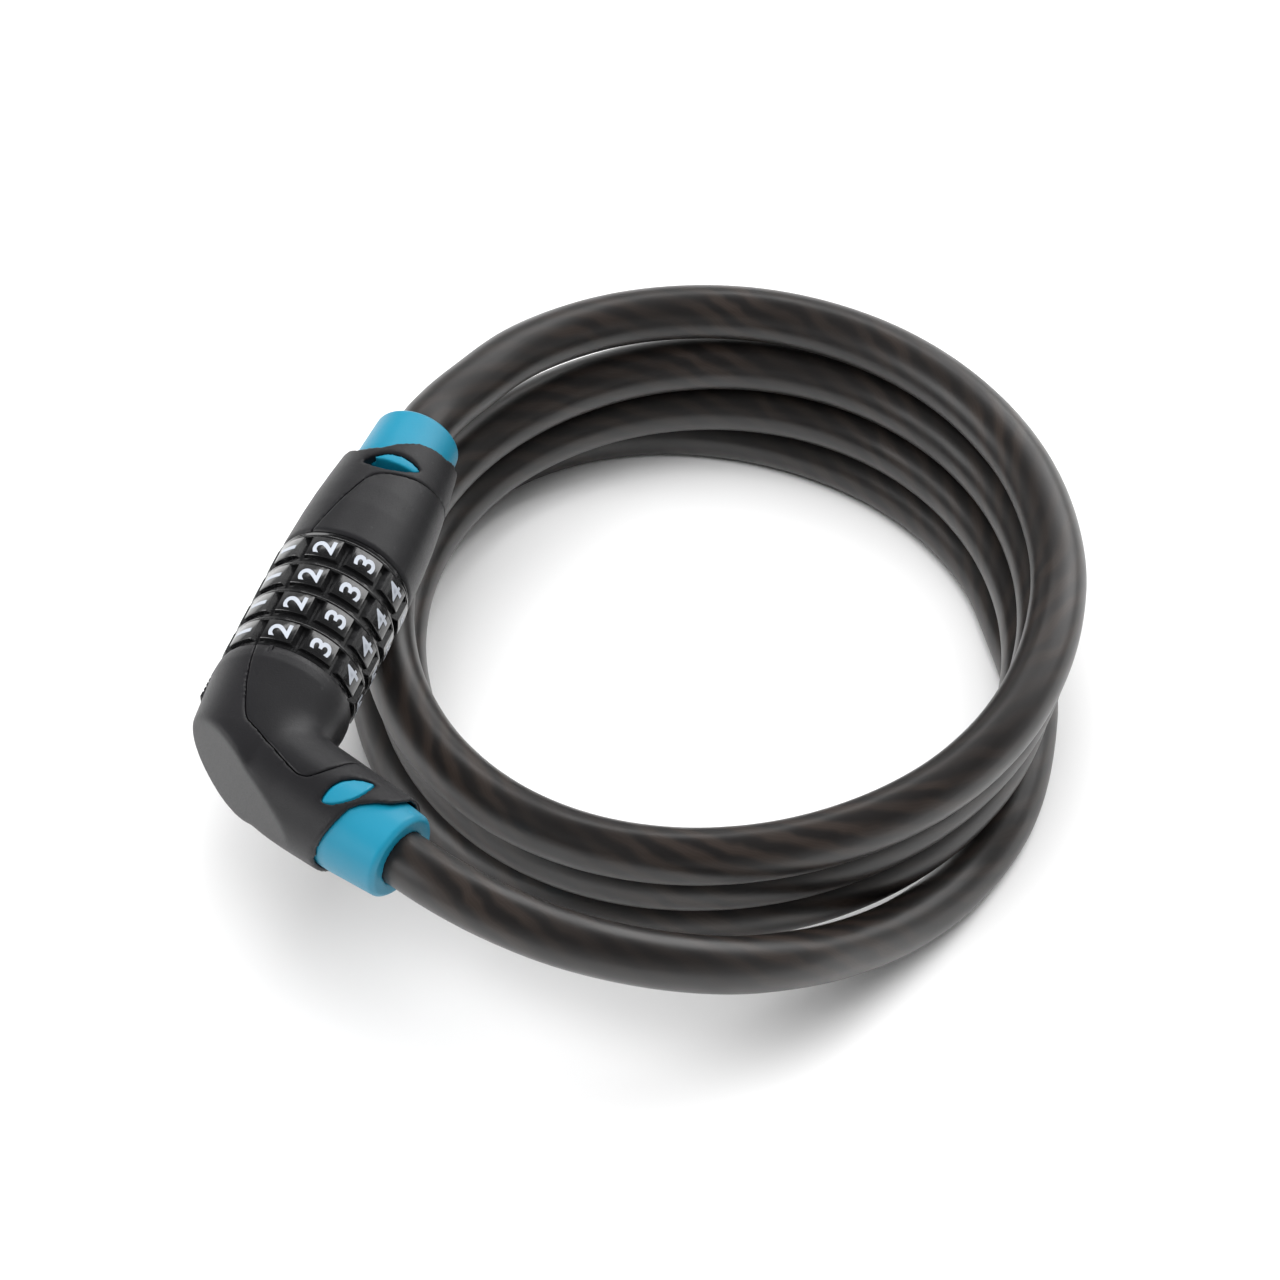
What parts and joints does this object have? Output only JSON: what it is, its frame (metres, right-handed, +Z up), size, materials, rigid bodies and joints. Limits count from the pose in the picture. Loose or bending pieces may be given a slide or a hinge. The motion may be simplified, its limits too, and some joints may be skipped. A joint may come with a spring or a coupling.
{
  "type": "cable lock",
  "caption": "Coiled bicycle cable lock: smoked plastic-covered steel cable, angled lock body with number dials and a pull-out plug with a toothed bolt.",
  "frame": {"origin": "on the surface the lock lies on, at the middle of the flat under the lowest turn where it passes straight behind the coil's middle", "axes": "+Z up; +Y along the lock head's axis, from the elbow towards the plug; +X from the lock head towards the far side of the coil"},
  "size_m": [0.1649, 0.1935, 0.0662],
  "materials": {
    "housing": "soft-touch black plastic with a fine grain",
    "panel": "smoother satin black plastic",
    "sleeve": "satin sky-blue plastic",
    "cable": "smoked clear plastic over twisted steel strands",
    "dial": "glossy black with white numbers on the pads",
    "disc": "glossy black",
    "mark": "white paint",
    "ferrule": "rolled, satin",
    "pin": "ground",
    "core": "die-cast and machined, satin",
    "bolt": "hardened and polished",
    "gate": "turned, satin",
    "spring": "spring steel"
  },
  "bodies": {
    "lock_body": {"elbow_shell": "housing", "elbow_panel": "panel", "exit_sleeve": "sleeve", "exit_ferrule": "ferrule", "exit_pin": "pin", "exit_cable_end": "cable", "core_tube": "core", "core_pin": "pin", "mouth_ring": "disc", "dial_discs": "disc", "detent_spring": "spring", "index_mark": "mark", "change_spring": "spring", "cable_coil": "cable", "cable_elbow_run": "cable"},
    "number_dial_1": {"dial_1": "dial", "gate_ring_1": "gate"},
    "number_dial_2": {"dial_2": "dial", "gate_ring_2": "gate"},
    "number_dial_3": {"dial_3": "dial", "gate_ring_3": "gate"},
    "number_dial_4": {"dial_4": "dial", "gate_ring_4": "gate"},
    "plug": {"plug_cover": "housing", "plug_panel": "panel", "plug_sleeve": "sleeve", "plug_core": "core", "plug_ferrule": "ferrule", "plug_pin": "pin", "plug_cable_end": "cable", "locking_bolt": "bolt", "cable_plug_run": "cable"},
    "code_tab": {"change_tab": "panel"}
  },
  "joints": [
    {"name": "dial_1_turn", "type": "hinge", "parent": "lock_body", "child": "number_dial_1", "pos_m": [-0.069, -0.11292, 0.051], "axis": [0, 1, 0], "continuous": true},
    {"name": "dial_2_turn", "type": "hinge", "parent": "lock_body", "child": "number_dial_2", "pos_m": [-0.069, -0.12097, 0.051], "axis": [0, 1, 0], "continuous": true},
    {"name": "dial_3_turn", "type": "hinge", "parent": "lock_body", "child": "number_dial_3", "pos_m": [-0.069, -0.12903, 0.051], "axis": [0, 1, 0], "continuous": true},
    {"name": "dial_4_turn", "type": "hinge", "parent": "lock_body", "child": "number_dial_4", "pos_m": [-0.069, -0.13708, 0.051], "axis": [0, 1, 0], "continuous": true},
    {"name": "plug_slide", "type": "slide", "parent": "lock_body", "child": "plug", "axis": [0, 1, 0], "range_m": [0, 0.042], "deforming": ["cable_plug_run"]},
    {"name": "code_tab_slide", "type": "slide", "parent": "lock_body", "child": "code_tab", "axis": [0, -1, 0], "range_m": [0, 0.0025], "stiffness_N_per_m": 200, "springref_m": -0.001, "deforming": ["change_spring"]}
  ]
}
